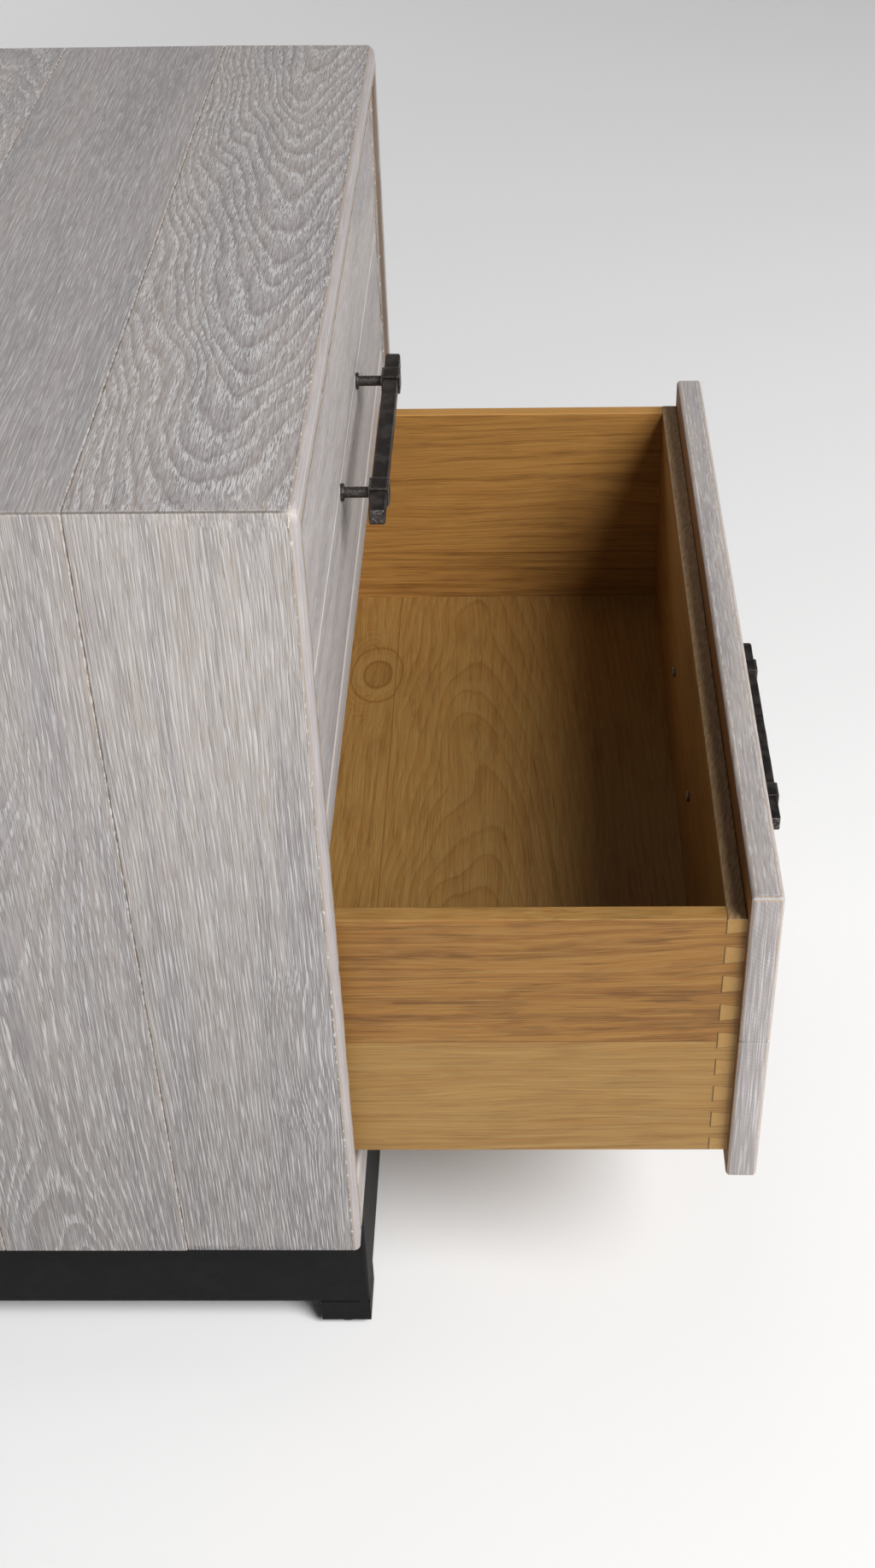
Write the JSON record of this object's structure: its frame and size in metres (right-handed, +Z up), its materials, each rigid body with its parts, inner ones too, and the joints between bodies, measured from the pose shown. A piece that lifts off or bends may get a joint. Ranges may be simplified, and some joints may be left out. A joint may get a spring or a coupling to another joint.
{
  "type": "nightstand",
  "caption": "Limed oak plank nightstand with mitred case, dovetailed drawers on concealed slides, forged iron bar pulls and a black iron base.",
  "frame": {"origin": "on the floor under the middle of the whole, with the lower drawer pulled out as modelled", "axes": "+Z up, the drawers face -Y and pull out along -Y, +X to the right as seen from the front"},
  "size_m": [0.72, 0.8022, 0.71],
  "materials": {
    "limed_oak": "limed, open-pored, worn edges",
    "drawer_oak": "clear satin",
    "pull_iron": "forged, waxed black",
    "base_iron": "blackened",
    "slide_steel": "zinc plated",
    "screw_steel": "zinc plated",
    "glide": "matte"
  },
  "bodies": {
    "case": {"back_panel": "limed_oak", "base_feet": "base_iron", "base_front_rail": "base_iron", "base_glides": "glide", "base_gussets": "base_iron", "base_left_rail": "base_iron", "base_rear_rail": "base_iron", "base_right_rail": "base_iron", "base_screws": "screw_steel", "bottom_panel": "limed_oak", "bottom_rail": "limed_oak", "left_plank_1": "limed_oak", "left_plank_2": "limed_oak", "left_plank_3": "limed_oak", "left_plank_4": "limed_oak", "lower_slide_left_cabinet": "slide_steel", "lower_slide_right_cabinet": "slide_steel", "mid_rail": "limed_oak", "right_plank_1": "limed_oak", "right_plank_2": "limed_oak", "right_plank_3": "limed_oak", "right_plank_4": "limed_oak", "slide_screws": "screw_steel", "top_plank_1": "limed_oak", "top_plank_2": "limed_oak", "top_plank_3": "limed_oak", "top_plank_4": "limed_oak", "upper_slide_left_cabinet": "slide_steel", "upper_slide_right_cabinet": "slide_steel"},
    "upper_drawer": {"upper_box_back": "drawer_oak", "upper_box_bottom": "drawer_oak", "upper_box_front": "drawer_oak", "upper_box_left": "drawer_oak", "upper_box_right": "drawer_oak", "upper_front_lower_plank": "limed_oak", "upper_front_upper_plank": "limed_oak", "upper_pull_bar": "pull_iron", "upper_pull_collars": "pull_iron", "upper_pull_posts": "pull_iron", "upper_pull_screws": "screw_steel", "upper_slide_left_runner": "slide_steel", "upper_slide_right_runner": "slide_steel"},
    "lower_drawer": {"lower_box_back": "drawer_oak", "lower_box_bottom": "drawer_oak", "lower_box_front": "drawer_oak", "lower_box_left": "drawer_oak", "lower_box_right": "drawer_oak", "lower_front_lower_plank": "limed_oak", "lower_front_upper_plank": "limed_oak", "lower_pull_bar": "pull_iron", "lower_pull_collars": "pull_iron", "lower_pull_posts": "pull_iron", "lower_pull_screws": "screw_steel", "lower_slide_left_runner": "slide_steel", "lower_slide_right_runner": "slide_steel"},
    "upper_middles": {"upper_slide_left_middle": "slide_steel", "upper_slide_right_middle": "slide_steel"},
    "lower_middles": {"lower_slide_left_middle": "slide_steel", "lower_slide_right_middle": "slide_steel"}
  },
  "joints": [
    {"name": "upper_drawer_slide", "type": "slide", "parent": "case", "child": "upper_drawer", "axis": [0, -1, 0], "range_m": [0, 0.4]},
    {"name": "upper_middle_slide", "type": "slide", "parent": "case", "child": "upper_middles", "axis": [0, -1, 0], "range_m": [0, 0.2]},
    {"name": "lower_drawer_slide", "type": "slide", "parent": "case", "child": "lower_drawer", "axis": [0, -1, 0], "range_m": [-0.276, 0.124]},
    {"name": "lower_middle_slide", "type": "slide", "parent": "case", "child": "lower_middles", "axis": [0, -1, 0], "range_m": [-0.138, 0.062]}
  ],
  "couplings": [
    {"joint": "upper_middle_slide", "follows": "upper_drawer_slide", "ratio": 0.5},
    {"joint": "lower_middle_slide", "follows": "lower_drawer_slide", "ratio": 0.5}
  ]
}
